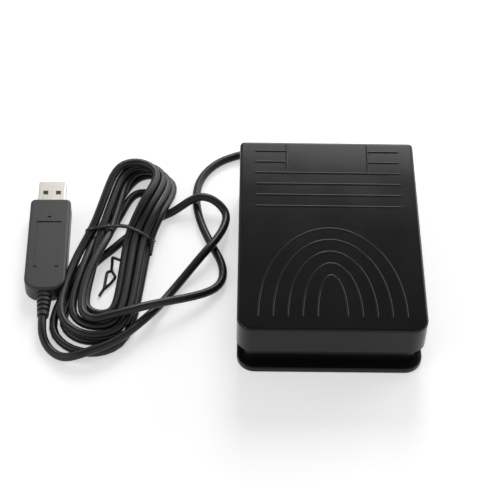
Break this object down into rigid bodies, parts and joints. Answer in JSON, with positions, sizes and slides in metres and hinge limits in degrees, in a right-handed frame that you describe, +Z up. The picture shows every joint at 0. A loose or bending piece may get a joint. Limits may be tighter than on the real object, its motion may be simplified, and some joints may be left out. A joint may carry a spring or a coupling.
{
  "type": "usb foot pedal switch",
  "caption": "Foot pedal switch: a sprung rocking cover on a weighted base works a microswitch; a folded lead ends in a USB plug.",
  "frame": {"origin": "on the floor, centred under the pedal's own box (cover and base), the lead and plug not counted", "axes": "+X to the user's right, +Y to the rear, where the lead leaves, +Z up"},
  "size_m": [0.1669, 0.1251, 0.0326],
  "materials": {
    "cover_plastic": "fine spark-eroded texture, satin",
    "base_plastic": "fine texture, satin black",
    "foot_rubber": "matt black rubber",
    "ballast_steel": "zinc-plated sheet",
    "screw_steel": "zinc plated",
    "pin_steel": "ground steel",
    "spring_steel": "drawn spring wire",
    "switch_plastic": "moulded black",
    "plunger_plastic": "moulded red",
    "contact_brass": "tinned brass",
    "contact_gold": "gold flash",
    "cable_jacket": "smooth soft vinyl",
    "wire_red_jacket": "smooth vinyl",
    "wire_black_jacket": "smooth vinyl",
    "tie_plastic": "coated wire",
    "plug_plastic": "fine texture, satin",
    "shell_nickel": "nickel plated",
    "tongue_plastic": "white moulded",
    "board_laminate": "green solder mask",
    "chip_epoxy": "moulded epoxy"
  },
  "bodies": {
    "base": {"base_tray": "base_plastic", "rubber_feet": "foot_rubber", "weight_plate": "ballast_steel", "weight_plate_screws": "screw_steel", "hinge_pins": "pin_steel", "pin_clips": "spring_steel", "return_spring_left": "spring_steel", "return_spring_right": "spring_steel", "stop_bumpers": "foot_rubber", "switch_body": "switch_plastic", "switch_terminals": "contact_brass", "switch_screws": "screw_steel", "cable_gland": "cable_jacket", "inner_cable": "cable_jacket", "cable_clamp": "base_plastic", "clamp_screws": "screw_steel", "wire_red": "wire_red_jacket", "wire_black": "wire_black_jacket", "cord_lead": "cable_jacket", "cord_hank": "cable_jacket", "cord_loop": "cable_jacket", "cord_tie": "tie_plastic", "plug_strain_relief": "plug_plastic", "plug_cable": "cable_jacket", "plug_housing_upper": "plug_plastic", "plug_housing_lower": "plug_plastic", "plug_shell": "shell_nickel", "plug_tongue": "tongue_plastic", "plug_contacts": "contact_gold", "plug_board": "board_laminate", "plug_chip": "chip_epoxy", "plug_crystal": "shell_nickel"},
    "pedal": {"pedal_cover": "cover_plastic"},
    "lever": {"switch_lever": "spring_steel"},
    "plunger": {"switch_plunger": "plunger_plastic"}
  },
  "joints": [
    {"name": "pedal_hinge", "type": "hinge", "parent": "base", "child": "pedal", "pos_m": [0, 0.034, 0.009], "axis": [1, 0, 0], "range_deg": [0, 6], "stiffness_Nm_per_rad": 2, "springref_deg": -8.59, "deforming": ["return_spring_left", "return_spring_right"]},
    {"name": "switch_lever_hinge", "type": "hinge", "parent": "base", "child": "lever", "pos_m": [0, 0.0252, 0.0196], "axis": [1, 0, 0], "range_deg": [0, 9.27]},
    {"name": "switch_plunger_slide", "type": "slide", "parent": "base", "child": "plunger", "axis": [0, 0, -1], "range_m": [0, 0.000883]}
  ],
  "couplings": [
    {"joint": "switch_lever_hinge", "follows": "pedal_hinge", "ratio": 1.543},
    {"joint": "switch_plunger_slide", "follows": "pedal_hinge", "m_per_rad": 0.008332}
  ]
}
